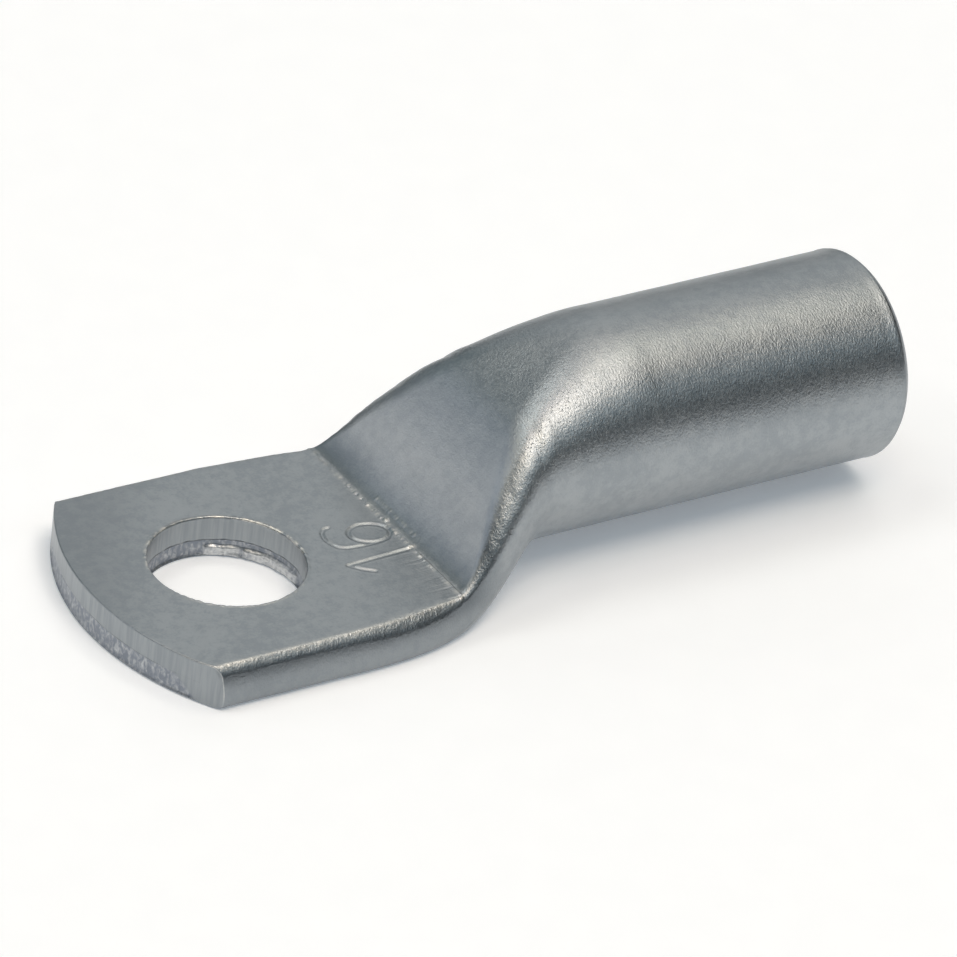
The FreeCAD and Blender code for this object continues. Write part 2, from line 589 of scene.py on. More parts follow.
    def rim(self, sides: Array, tube: Array, upper: bool) -> tuple[Array, int]:
        """Outer border of the palm's flat, from the middle of the join round to the tip's middle.

        Args:
            sides: Grid of the rounded side.
            tube: Grid of the tube behind the palm.
            upper: Whether it is the flat on top.

        Returns:
            The border's points, and how many of them come before the tip.
        """
        run, _ = self.lines()
        tops = int(np.sum(run == 0))
        joint = tube[0, :tops] if upper else tube[0, len(run) - self.bottom_lines - 1 :][::-1]
        side = sides[1:, 0 if upper else -1]
        corner = side[-1]
        angle = math.asin(corner[1] / self.form.tip_radius)
        turns = angle * (1 - np.arange(1, self.tip_lines + 1) / self.tip_lines)
        x = self.form.tip_centre - self.form.tip_radius * np.cos(turns)
        tip = np.stack([x, self.form.tip_radius * np.sin(turns), np.full(self.tip_lines, corner[2])], axis=-1)
        return np.concatenate([joint, side, tip]), len(joint) + len(side)

    def flat(self, border: Array, turns: Array, before_tip: int, rings: int) -> Array:
        """Grid of the palm's flat between the stud hole and its border.

        Args:
            border: The flat's outer border.
            turns: Angle round the hole at which each of its lines starts.
            before_tip: How many lines end before the tip.
            rings: How many rings lie beyond those close to the hole.

        Returns:
            Points, as lines by rings by 3.
        """
        start = self.form.hole_radius * np.stack([np.cos(turns), np.sin(turns)], axis=-1)
        gap = border[:, :2] - start
        length = np.linalg.norm(gap, axis=1)
        near = np.array(self.near_edge)
        steps = near[-1] + (length - near[-1])[:, None] * (np.arange(1, rings + 1) / rings)
        spare = rings - len(near)
        if spare > 0:
            # Lines that end on the tip have rings as close together there as at the hole
            last = length[:, None] - near[::-1]
            even = np.arange(1, spare + 1) / (spare + 1)
            to_tip = np.concatenate([near[-1] + (last[:, :1] - near[-1]) * even, last], axis=1)
            first = before_tip - len(near)
            steps[first:] = to_tip[first:]
        ring = np.concatenate([np.tile(near, (len(length), 1)), steps], axis=1) / length[:, None]
        flat = start[:, None, :] + gap[:, None, :] * ring[:, :, None]
        flat[:, -1] = border[:, :2]
        x, y = flat[..., 0], flat[..., 1]
        upper = border[0, 2] > self.form.middle
        sizes = self.sizes(x.ravel())
        z = (sizes.top if upper else sizes.bottom).reshape(ring.shape)
        if not self.hollow:
            to_hole = np.hypot(x, y) - self.form.hole_radius
            to_tip = self.form.tip_radius - np.hypot(x - self.form.tip_centre, y)
            drop = self.edge_drop(to_hole) + self.edge_drop(np.where(x < 0, to_tip, FAR))
            z = z - drop if upper else z + drop
        z[:, -1] = border[:, 2]
        return np.concatenate([flat, z[..., None]], axis=-1)


@dataclass
class LugMesh:
    """The whole lug as one closed mesh, built as a half and its mirror image."""

    form: LugForm = field(default_factory=LugForm)
    seam_rings: int = 3
    top_rings: int = 12
    under_rings: int = 9
    hole_steps: int = 18
    tip_steps: tuple[float, ...] = (0.0, 0.05, 0.12, 0.22, 0.36, 0.52, 0.68, 0.82, 0.92, 1.0)
    # Hoops of the mouth's outer chamfer: how far back and how far in from the barrel each lies
    chamfer: Pairs = ((0.20, 0.012), (0.17, 0.035), (0.10, 0.095), (0.035, 0.155), (0.012, 0.185), (0.0, 0.215))
    # Hoops of the cut face: in from the barrel, and out from the bore; the bore's small chamfer
    cut_in: tuple[float, ...] = (0.35, 0.6)
    cut_out: tuple[float, ...] = (0.16, 0.1)
    lead_back: float = 0.03
    lead_out: float = 0.05
    # Points nearer than this are one, in metres
    weld: float = 2e-7
    points: list[Array] = field(default_factory=list)
    faces: list[Array] = field(default_factory=list)
    wears: list[Array] = field(default_factory=list)
    count: int = 0

    def add(self, grid: Array, finish: Finish) -> None:
        """Adds a grid of points and its mirror image.

        Args:
            grid: Points, as rows by columns by 3.
            finish: The finish of its faces.
        """
        rows, columns = grid.shape[:2]
        for side in (1.0, -1.0):
            index = np.arange(rows * columns).reshape(rows, columns) + self.count
            quads = np.stack([index[:-1, :-1], index[1:, :-1], index[1:, 1:], index[:-1, 1:]], axis=-1)
            self.points.append(grid.reshape(-1, 3) * np.array([1.0, side, 1.0]))
            self.faces.append(quads.reshape(-1, 4))
            self.wears.append(np.full(quads.shape[0] * quads.shape[1], finish.value))
            self.count += rows * columns

    @staticmethod
    def span(first: Array, last: Array, steps: Array) -> Array:
        """Grid between two rows of points, with its rows at the given shares of the way."""
        return first[None] + (last - first)[None] * steps[:, None, None]

    def build(self) -> None:
        """Lays out every grid of the half: skins, palm, stud hole, sheared tip and mouth."""
        shells = [Shell(self.form, hollow) for hollow in (False, True)]
        skins, edges = {}, {}
        for shell in shells:
            skins[shell.hollow] = (shell.tube(), shell.sides())
            for grid in skins[shell.hollow]:
                self.add(grid, shell.finish)
        for upper in (True, False):
            border, before = shells[0].rim(skins[False][1], skins[False][0], upper)
            turns = np.arctan2(border[:, 1], border[:, 0])
            turns[-1] = math.pi
            for shell in shells:
                tube, sides = skins[shell.hollow]
                own, _ = shell.rim(sides, tube, upper)
                rings = self.seam_rings if shell.hollow else (self.top_rings if upper else self.under_rings)
                edges[upper, shell.hollow] = (shell.flat(own, turns, before, rings), before)
                self.add(edges[upper, shell.hollow][0], shell.finish)
            walls = (edges[upper, hollow][0][:, 0] for hollow in (False, True))
            self.add(self.span(*walls, np.linspace(0, 1, self.hole_steps + 1)), Finish.SHEARED)
        self.sheared_tip(skins, edges)
        self.mouth(skins[False][0][-1], skins[True][0][-1])

    def sheared_tip(
        self, skins: dict[bool, tuple[Array, Array]], edges: dict[tuple[bool, bool], tuple[Array, int]]
    ) -> None:
        """The tip's cut face, between the outside and the seam.

        Args:
            skins: Tube and side grids, outside and inside.
            edges: The palm's flats with the number of their lines before the tip.
        """
        loops = []
        for hollow in (False, True):
            (top, before), (bottom, before_bottom) = edges[True, hollow], edges[False, hollow]
            upper = top[before - 1 :, -1][::-1]
            lower = bottom[before_bottom - 1 :, -1]
            loops.append(np.concatenate([upper, skins[hollow][1][-1][1:-1], lower]))
        face = self.span(*loops, np.array(self.tip_steps))
        face[1:-1, :, 0] = self.form.tip_x(face[1:-1, :, 1])
        self.add(face, Finish.SHEARED)

    def mouth(self, ring: Array, bore: Array) -> None:
        """The barrel's open end: outer chamfer, cut face and the bore's small chamfer.

        Args:
            ring: The last points of the barrel's outside.
            bore: The last points of the bore.
        """
        axis, end, radius, bore_radius = (
            self.form.axis, self.form.hole_to_mouth, self.form.tube_radius, self.form.bore_radius
        )
        turn = np.arctan2(ring[:, 1], ring[:, 2] - axis)

        def hoop(x: float, size: float) -> Array:
            """Points round the axis at x, in line with the barrel's own lines."""
            return np.stack([np.full(len(turn), x), size * np.sin(turn), axis + size * np.cos(turn)], axis=-1)

        rounded = [ring] + [hoop(end - back, radius - inset) for back, inset in self.chamfer]
        sizes = [radius - off for off in self.cut_in] + [bore_radius + off for off in self.cut_out]
        cut = [rounded[-1]] + [hoop(end, size) for size in sizes]
        cut += [hoop(end - self.lead_back, bore_radius + self.lead_out), bore]
        self.add(np.array(rounded), Finish.SKIN)
        self.add(np.array(cut), Finish.SHEARED)

    def mesh(self, name: str) -> bpy.types.Mesh:
        """Welds the grids into one mesh in metres.

        Args:
            name: Name of the mesh.

        Returns:
            The mesh, with its faces looking outward.
        """
        me = bpy.data.meshes.new(name)
        me.from_pydata(np.concatenate(self.points) * MM, [], np.concatenate(self.faces).tolist())
        me.polygons.foreach_set("material_index", np.concatenate(self.wears).astype(np.int32))
        bm = bmesh.new()
        bm.from_mesh(me)
        bmesh.ops.remove_doubles(bm, verts=bm.verts, dist=self.weld)
        loose = [e for e in bm.edges if len(e.link_faces) != 2]
        LOG.info("open or shared edges after welding: %d", len(loose))
        bmesh.ops.recalc_face_normals(bm, faces=bm.faces)
        if bm.calc_volume(signed=True) < 0:
            bmesh.ops.reverse_faces(bm, faces=bm.faces)
        bm.to_mesh(me)
        bm.free()
        return me


# Marks of making, pressed and worn into the surface, with shares of painted shade and painted highlight


class Spots:
    """Points of the lug's surface in millimetres, with what the marks need to know of each.

    Attributes:
        x, y, z: The point's place.
        side: Distance from the lug's middle plane.
        bend: Place along the lug, from the bend.
        away: Distance outward from the punched hole's wall.
        at_hole: Whether the point lies close to the hole.
        turn: Angle round the hole in degrees, 180 at the tip, alike on both sides.
        lean: How far the surface faces to a side, from 0 to 1.
        up: How far it faces up, from -1 to 1.
        level: Share by which it is level and faces up.
        flat: Share by which the point belongs to the palm's flat top.
    """

    def __init__(self, points: Array, normals: Array, form: LugForm) -> None:
        """Works out each point's place on the lug.

        Args:
            points: Places, one a row.
            normals: Outward directions there.
            form: The lug's form.
        """
        self.points, self.normals, self.form = points, normals, form
        self.x, self.y, self.z = points.T
        self.side = np.abs(self.y)
        self.bend = self.x - form.hole_to_bend
        self.away = np.hypot(self.x, self.y) - form.hole_radius
        self.at_hole = self.away < 0.3
        self.turn = np.degrees(np.arctan2(self.side, self.x))
        self.lean, self.up = np.abs(normals[:, 1]), normals[:, 2]
        self.level = between(self.up, 0.2, 0.6)
        on_palm = between(self.side, 5.6, 4.9) * (self.x < form.hole_to_bend + 0.6)
        self.flat = self.level * on_palm * (self.z > form.middle)

    def only(self, which: Array) -> "Spots":
        """Those of the points that a mask picks."""
        return Spots(self.points[which], self.normals[which], self.form)

    def wander(self, pattern: Pattern) -> Array:
        """A random field at the points."""
        return pattern.read(self.points)


@dataclass
class Marks:
    """What pressing, punching and plating leave on the surface, as small moves of its points, with the shares of
    painted shade and painted highlight that the finishes read.
    """

    form: LugForm
    stamp: Stamp = field(default_factory=Stamp)
    burnish_end: float = 0.81
    hole_seam_drop: float = 0.12
    break_out_top: float = 0.55
    break_out_turns: tuple[float, float] = (-6.0, 77.0)
    crack_turn: float = 46.5
    recess: float = 0.07
    roll_in: float = 0.21
    roll_down: float = 0.04
    ridge_end: tuple[float, float] = (10.2, 8.6)
    stamp_from: float = 2.9
    # Beads of metal that the stamp pushed up at the bend
    beads: Pairs = ((6.34, -1.72), (6.36, 0.06))
    bead_height: float = 0.045
    bead_reach: float = 0.06
    # Lines of the press tool: place from the bend, height, height of the ticks, and where each ends and
    # is full across the lug
    press_lines: tuple[tuple[float, ...], ...] = ((-0.07, 0.008, 0.040, 5.5, 5.0), (0.28, 0.010, 0.024, 1.9, 1.2))
    press_reach: float = 0.05
    burr_height: float = 0.026
    lip_back: float = 0.31
    lip_height: float = 0.022
    lip_reach: float = 0.07
    # The torn metal: rise of the lumps in the hole, and how the cut tip falls back
    lump_rise: float = 0.02
    lump_knobs: float = 0.06
    lump_grain: float = 0.05
    tip_fall: float = 0.018
    tip_fall_more: float = 0.022
    tip_knobs: float = 0.016
    tip_groove: float = 0.010

    def skin(self, at: Spots) -> Array:
        """Moves along the outward direction on the plated skin.

        Args:
            at: The points.

        Returns:
            One move for each point, in millimetres.
        """
        move = at.wander(Pattern.WAVES) + self.stamped(at) + self.bend_line(at) + self.burr(at)
        move += self.worn_edge(at)
        lip = bump(at.x, self.form.hole_to_mouth - self.lip_back, self.lip_reach)
        return move + lip * (self.lip_height + at.wander(Pattern.LIP))

    def stamped(self, at: Spots) -> Array:
        """Relief of the stamped number, and the beads that it pushed up.

        Args:
            at: The points.

        Returns:
            One move for each point, in millimetres.
        """
        flat = at.flat * (at.x > self.stamp_from)
        move = np.zeros(len(flat))
        near = flat > 0
        move[near] = self.stamp.relief(at.points[near]) * flat[near] * between(at.bend[near], 0.05, -0.1)
        for bead_x, bead_y in self.beads:
            off = np.hypot(at.x - bead_x, (at.y - bead_y) * 0.7)
            move += self.bead_height * bump(off, 0.0, self.bead_reach) * flat
        return move

    def bend_line(self, at: Spots) -> Array:
        """Ticks left by the press tool along the bend, its second line and the scratches before it.

        Args:
            at: The points.

        Returns:
            One move for each point, in millimetres.
        """
        ticks = at.wander(Pattern.TICKS)
        reach = between(at.bend, -1.3, -0.1) * between(-at.y, 0.5, 2.2)
        move = at.wander(Pattern.SCRATCHES) * reach * at.flat
        for place, height, tick, end, full in self.press_lines:
            line = bump(at.bend, place, self.press_reach) * at.level * between(at.side, end, full)
            move += line * (height + tick * ticks)
        return move

    def burr(self, at: Spots) -> Array:
        """Beaded burr round the punched hole's upper edge, strongest on the side away from the tip.

        Args:
            at: The points.

        Returns:
            One move for each point, in millimetres.
        """
        strong = 0.35 + 0.65 * between(at.turn, 175, 140)
        high = at.z > self.form.palm_thickness * 0.9
        return (self.burr_height + at.wander(Pattern.BURR)) * strong * high * bump(at.away, 0.04, 0.05)

    def worn_edge(self, at: Spots) -> Array:
        """Lumpy pressed edges along the palm and wrinkles on the ridge that climbs to the barrel.

        Args:
            at: The points.

        Returns:
            One move for each point, in millimetres.
        """
        edge = between(at.lean, 0.15, 0.45) * between(at.lean, 1.0, 0.9) * between(at.up, 0.0, 0.3)
        slant = np.stack([at.x, at.z + at.side, at.z], axis=-1)
        ridge = between(at.x, 6.3, 6.9) * between(at.x, *self.ridge_end) * Pattern.WRINKLES.read(slant)
        return edge * (between(at.x, 10.5, 6.5) * at.wander(Pattern.EDGE) + ridge)

    def rolled(self, at: Spots) -> Array:
        """Moves that make the long edge on the -Y side rounder than the other.

        Args:
            at: The points.

        Returns:
            One move for each point, in millimetres: inwards across the lug, and down.
        """
        sizes = self.form.outside(at.x)
        off = np.hypot(sizes.width / 2 + at.y, sizes.top - at.z)
        ridge = between(at.x, 6.4, 7.6)
        fade = between(at.x, *self.ridge_end) * (1 - 0.5 * bump(at.x, 6.5, 0.8)) * (at.y < 0)
        move = np.zeros((len(off), 3))
        for axis, most, reach, more in ((1, self.roll_in, 1.2, 0.5), (2, -self.roll_down, 0.5, 0.7)):
            move[:, axis] = most * np.clip(1 - off / (reach + more * ridge), 0, 1) ** 2 * fade
        return move

    def torn(self, at: Spots) -> Array:
        """Share by which each point of the sheared faces lies below the burnished band.

        Args:
            at: The points.

        Returns:
            One share for each point.
        """
        tip = self.form.middle - 0.8 * between(at.side, 4.0, 5.2)
        edge = np.where(at.at_hole, self.burnish_end, tip) + at.wander(Pattern.TEAR_LINE)
        return between(at.z, edge + 0.01, edge - 0.035) * (at.bend < 0)

    def lumps(self, at: Spots) -> Array:
        """Share by which each point lies on the torn lumps low in the punched hole.

        Args:
            at: The points.

        Returns:
            One share for each point.
        """
        turn = np.degrees(np.arctan2(at.y, at.x))
        first, last = self.break_out_turns
        around = between(turn, first, first + 9) * between(turn, last, last - 6)
        crack = 1 - bump(turn, self.crack_turn, 1.2)
        top = self.break_out_top + at.wander(Pattern.SCALLOPS)
        return around * crack * between(at.z, top, top - 0.07) * at.at_hole

    def sheared(self, at: Spots) -> Array:
        """Moves into the metal on the punched hole's wall and the cut tip.

        Args:
            at: The points.

        Returns:
            One move for each point along X and Y, in millimetres.
        """
        middle = self.form.middle
        torn, knobs, grain = self.torn(at), at.wander(Pattern.KNOBS), at.wander(Pattern.TORN_GRAIN)
        raised = self.recess + self.lump_rise + self.lump_knobs * knobs + self.lump_grain * grain
        hole = torn * (self.recess + 0.008 * grain) - self.lumps(at) * raised
        fall = self.tip_fall + self.tip_fall_more * share(at.z, middle, 0.0)
        groove = self.tip_groove * bump(at.z, middle, 0.04) * between(at.side, 4.3, 3.0)
        tip = torn * (fall + self.tip_knobs * knobs + 0.010 * grain) + groove
        place = at.points[:, :2]
        outward = place / self.form.hole_radius
        to_centre = (np.array([self.form.tip_centre, 0.0]) - place) / self.form.tip_radius
        return np.where(at.at_hole[:, None], outward * hole[:, None], to_centre * tip[:, None])

    def seam(self, at: Spots) -> Array:
        """Rise of the seam: it wanders, drops at the hole and shuts at the corners.

        Args:
            at: The points.

        Returns:
            One move up for each point, in millimetres.
        """
        middle = self.form.middle
        off = at.z - middle
        rise = at.wander(Pattern.SEAM) * bump(off, 0.0, 0.16)
        near_hole = bump(np.clip(at.away, 0, None), 0.0, 0.35)
        rise -= self.hole_seam_drop * near_hole * np.clip(1 - (off / middle) ** 2, 0, 1)
        shut = between(at.side, 3.4, 3.9) * (np.abs(off) < self.form.seam_gap)
        return (rise - 0.8 * off * shut) * (at.bend < -0.2)

    def apply(self, me: bpy.types.Mesh) -> None:
        """Moves the mesh's points and writes the shares that the finishes read.

        Args:
            me: The lug's mesh, in metres.
        """
        count = len(me.vertices)
        points, normals = np.empty(count * 3), np.empty(count * 3, np.float32)
        me.vertices.foreach_get("co", points)
        me.vertex_normals.foreach_get("vector", normals)
        at = Spots(points.reshape(-1, 3) / MM, normals.reshape(-1, 3).astype(float), self.form)
        on_skin, on_cut, on_bore = np.zeros((3, count), bool)
        for finish, wear_and_highlight in zip(Finish, (on_skin, on_cut, on_bore)):
            wear_and_highlight[[v for p in me.polygons if p.material_index == finish.value for v in p.vertices]] = True
        move = self.rolled(at)
        skin = on_skin & ~on_bore
        move[skin] += at.normals[skin] * self.skin(at.only(skin))[:, None]
        cut = on_cut & ~on_skin & (at.bend < 0)
        move[cut, :2] += self.sheared(at.only(cut))
        move[~on_skin, 2] += self.seam(at.only(~on_skin))
        self.masks(me, at)
        me.vertices.foreach_set("co", ((at.points + move) * MM).ravel())
        ends = np.empty(len(me.edges) * 2, int)
        me.edges.foreach_get("vertices", ends)
        me.edges.foreach_set("use_edge_sharp", (on_bore & on_cut)[ends.reshape(-1, 2)].all(axis=1))
        me.update()

    def wear_and_highlight(self, at: Spots) -> Array:
        """Share by which each point is painted bright: rubbed metal with a painted highlight on the burr, bend
        lines and beads, and a painted highlight on the palm's edges.

        Args:
            at: The points.

        Returns:
            One share for each point.
        """
        x, bend, side = at.x, at.bend, at.side
        grain = at.wander(Pattern.WEAR_AND_HIGHLIGHT)
        # Burr round the hole: rubbed metal, with a painted highlight where it faces the lights above
        burr = bump(at.away, 0.03, 0.07) * between(at.turn, 178, 160) * (0.6 + 1.7 * grain)
        burr = burr * (at.z > self.form.palm_thickness * 0.93) * (at.y > -0.6)
        # Bend lines and beads: rubbed metal, with a painted highlight on top
        ticks = at.wander(Pattern.WEAR_AND_HIGHLIGHT_TICKS)
        line = bump(bend, -0.05, 0.10) * (0.18 + 0.8 * ticks)
        second = bump(bend, 0.30, 0.05) * between(side, 1.9, 1.2) * (0.1 + 0.9 * ticks)
        beads = sum(bump(np.hypot(x - bx, at.y - by), 0.0, 0.09) for bx, by in self.beads)
        marks = at.level * between(side, 5.6, 5.2) * (np.maximum(line, second) + beads)
        # Painted highlight along the palm's top edges, set by which way they face
        edge = bump(at.lean, 0.55, 0.24) * (at.up > 0) * between(x, 7.2, 6.2) * (0.55 + 0.9 * grain)
        edge = edge * between(x, -4.6, -3.9) * (1 - 0.6 * bump(x, 3.0, 4.0))
        return np.clip(np.maximum(np.maximum(burr, marks), 0.8 * edge), 0, 1)

    def painted_shade(self, at: Spots) -> Array:
        """Share by which each point is painted darker: painted shade on the palm's sides, in the bend's crease,
        on the foot of the ridge and towards the far tip, and darker on the mouth's rim.

        Args:
            at: The points.

        Returns:
            One share for each point.
        """
        x, mouth = at.x, self.form.hole_to_mouth
        height = at.z - self.form.palm_thickness * 0.55
        # Painted shade on the palm's sides, strongest towards their top
        side = between(at.lean, 0.68, 0.92) * between(x, 8.6, 6.6) * (0.45 + 0.55 * between(height, -0.1, 0.5))
        # Painted shade in the bend's crease, on the ramp just past the bend
        corner = bump(at.bend, 0.35, 0.45) * between(at.side, 0.0, 4.5) * between(at.up, 0.2, 0.5)
        # Painted shade on the foot of the ridge
        foot = bump(x, 7.32, 0.85) * between(at.lean, 0.12, 0.35) * between(at.up, 0.0, 0.3)
        # Painted shade towards the far end of the tip
        far_tip = 0.4 * between(0.6 * at.y - x, 2.2, 5.6)
        # The mouth's rim is darker
        rim = 0.6 * between(x, mouth - 0.30, mouth - 0.18)
        return np.maximum.reduce([side, 0.45 * corner * (at.bend > 0), foot, far_tip, rim])

    def masks(self, me: bpy.types.Mesh, at: Spots) -> None:
        """Writes the shares that the finishes read, one value a point.

        Args:
            me: The lug's mesh.
            at: Its points before they are moved.
        """
        x, bend = at.x, at.bend
        coarse = np.maximum(between(x, 8.4, 11.0), between(at.lean, 0.10, 0.45))
        shares = {
            "hatch": between(bend, -1.5, -0.15) * between(-at.y, 0.6, 2.6) * (bend < 0) * at.flat,
            # Shares of painted shade, and of rubbed metal with painted highlights
            "painted_shade": self.painted_shade(at),
            "wear_and_highlight": self.wear_and_highlight(at),
            "coarse": np.maximum(coarse, 0.22 + 0.2 * bump(bend, 0.0, 0.3)),
            "edge": between(at.lean, 0.12, 0.40) * between(at.up, 0.02, 0.35) * between(x, 10.5, 8.0),
            "pitted": bump(x, 10.6, 2.2) * at.level * between(at.lean, 0.15, 0.45),
            "torn": self.torn(at),
            "lumps": self.lumps(at),
        }
        for name, values in shares.items():
            layer = me.attributes.new(name, "FLOAT", "POINT")
            layer.data.foreach_set("value", values.astype(np.float32))


# Shader maths

Colour = Rgba | bpy.types.NodeSocket


class Value:
    """A shader socket that adds Math nodes when it is used in an expression."""

    def __init__(self, shader: "Shader", socket: bpy.types.NodeSocket) -> None:
        """Keeps the shader and the socket."""
        self.shader = shader
        self.socket = socket

    def __add__(self, other: "Value | float") -> "Value":
        """This value plus another."""
        return self.shader.maths("ADD", self, other)

    def __rsub__(self, other: float) -> "Value":
        """A number less this value."""
        return self.shader.maths("SUBTRACT", other, self)

    def __mul__(self, other: "Value | float") -> "Value":
        """This value times another."""
        return self.shader.maths("MULTIPLY", self, other)

    __radd__ = __add__
    __rmul__ = __mul__


class Shader:
    """A node material under construction."""

    def __init__(self, name: str) -> None:
        """Makes an empty node material.

        Args:
            name: Name of the material.
        """
        self.material = bpy.data.materials.new(name)
        self.material.use_nodes = True
        self.tree = self.material.node_tree
        self.tree.nodes.clear()

    def node(self, kind: str, settings: dict | None = None, sockets: dict | None = None) -> bpy.types.Node:
        """Adds a node of any type.

        Args:
            kind: The node's type.
            settings: Its own settings, which are set first.
            sockets: Values or links of its inputs, by name or number.

        Returns:
            The node.
        """
        made = self.tree.nodes.new(kind)
        for name, value in (settings or {}).items():
            setattr(made, name, value)
        for key, value in (sockets or {}).items():
            if isinstance(value, Value):
                self.tree.links.new(value.socket, made.inputs[key])
            elif isinstance(value, bpy.types.NodeSocket):
                self.tree.links.new(value, made.inputs[key])
            else:
                made.inputs[key].default_value = value
        return made

    def maths(self, operation: str, first: Value | float, second: Value | float) -> Value:
        """A Math node on two values."""
        made = self.node("ShaderNodeMath", {"operation": operation}, {0: first, 1: second})
        return Value(self, made.outputs[0])

    def place(self) -> bpy.types.NodeSocket:
        """The surface's place in the lug's own frame, in metres."""
        return self.node("ShaderNodeTexCoord").outputs["Object"]

    def grain(
        self, scale: float | tuple[float, float, float], detail: float = 2.0, turn: float = 0.0, warp: float = 0.0
    ) -> Value:
        """A noise from 0 to 1.

        Args:
            scale: Ripples per metre, the same or one for each axis.
            detail: How many finer layers it has.
            turn: Angle of the stretched grain about Z, in radians.
            warp: How much the noise is twisted.

        Returns:
            The noise.
        """
        scale = scale if isinstance(scale, tuple) else (scale, scale, scale)
        sockets = {"Vector": self.place(), "Rotation": (0.0, 0.0, turn), "Scale": scale}
        spun = self.node("ShaderNodeMapping", {"vector_type": "POINT"}, sockets)
        sockets = {"Vector": spun.outputs[0], "Scale": 1.0, "Detail": detail, "Distortion": warp}
        return Value(self, self.node("ShaderNodeTexNoise", sockets=sockets).outputs["Fac"])

    def cells(self, scale: float) -> Value:
        """Distance to the nearest of many scattered points, 0 at each."""
        made = self.node("ShaderNodeTexVoronoi", sockets={"Vector": self.place(), "Scale": scale})
        return Value(self, made.outputs["Distance"])

    def mask(self, name: str) -> Value:
        """A share that the mesh carries."""
        made = self.node("ShaderNodeAttribute", {"attribute_type": "GEOMETRY", "attribute_name": name})
        return Value(self, made.outputs["Fac"])

    def mapped(self, value: Value, low: float, high: float, to_low: float = 0.0, to_high: float = 1.0) -> Value:
        """A value carried smoothly from one range to another, and held at its ends.

        Args:
            value: The value.
            low: Start of its range.
            high: End of its range.
            to_low: Result at the start.
            to_high: Result at the end.

        Returns:
            The carried value.
        """
        sockets = {0: value, 1: low, 2: high, 3: to_low, 4: to_high}
        made = self.node("ShaderNodeMapRange", {"interpolation_type": "SMOOTHSTEP"}, sockets)
        return Value(self, made.outputs[0])

    def tint(self, amount: Value, first: Colour, second: Colour) -> bpy.types.NodeSocket:
        """A colour between two, by a share."""
        made = self.node("ShaderNodeMix", {"data_type": "RGBA"}, {0: amount, 6: first, 7: second})
        return made.outputs[2]

    def surface(self, height: Value, depth: float, **sockets: object) -> bpy.types.Material:
        """Ends the material with a principled surface and a bump.

        Args:
            height: The bump's height.
            depth: How deep a height of 1 is, in metres.
            **sockets: Values or links of the surface, with _ for a space in the name.

        Returns:
            The material.
        """
        relief = self.node("ShaderNodeBump", sockets={"Strength": 1.0, "Distance": depth, "Height": height})
        look = {name.replace("_", " "): value for name, value in sockets.items()}
        surface = self.node("ShaderNodeBsdfPrincipled", sockets={**look, "Normal": relief.outputs[0]})
        self.node("ShaderNodeOutputMaterial", sockets={"Surface": surface.outputs[0]})
        return self.material


# Finishes


@dataclass(frozen=True)
class TinSkin:
    """Pickled copper under electroplated tin: satin grey with a fine peel, its colour carrying painted shade and
    painted highlights.
    """

    light: Rgba = (0.385, 0.413, 0.433, 1.0)
    dark: Rgba = (0.315, 0.345, 0.37, 1.0)
    # Colour of the painted shade
    painted_shade_colour: Rgba = (0.205, 0.228, 0.248, 1.0)
    # Cream of rubbed metal and painted highlights
    wear_and_highlight_colour: Rgba = (0.72, 0.71, 0.67, 1.0)
    roughness: float = 0.38
    peel_depth: float = 17e-6

    def material(self) -> bpy.types.Material:
        """Builds the finish.

        Returns:
            The material.
        """
        s = Shader("tin_skin")
        coarse = s.mask("coarse")
        peel = s.grain((15000, 7000, 7000), 3.0, warp=0.6)
        dimple = s.grain(14000, 2.0)
        brush = s.grain((900, 9000, 4000), 2.0, turn=0.35)
        ragged = s.grain(9500, 3.0, warp=0.8)
        pits = s.mapped(s.cells(9500), 0.06, 0.22)
        hatch = s.grain((500, 9500, 500), 2.0)
        height = peel * (0.16 + 0.64 * coarse) + dimple * (0.16 + 0.34 * coarse) + brush * 0.14
        height = height + ragged * s.mask("edge") * 0.8 + pits * s.mask("pitted") * 1.2
        height = height + hatch * s.mask("hatch") * 1.3
        cloud, fleck, blotch = s.grain(420, 3.0), s.grain(11000, 3.0), s.grain(2600, 3.0)
        tone = s.mapped(cloud * 0.3 + blotch * 0.35 + fleck * 0.35, 0.40, 0.60)
        rough = s.mapped(fleck, 0.35, 0.7, self.roughness - 0.02, self.roughness + 0.05)
        # Rubbed metal and painted highlights in cream, then the painted shade
        unshaded = s.tint(s.mask("wear_and_highlight"), s.tint(tone, self.dark, self.light), self.wear_and_highlight_colour)
        colour = s.tint(s.mask("painted_shade"), unshaded, self.painted_shade_colour)
        return s.surface(height, self.peel_depth, Base_Color=colour, Metallic=1.0, Roughness=rough)


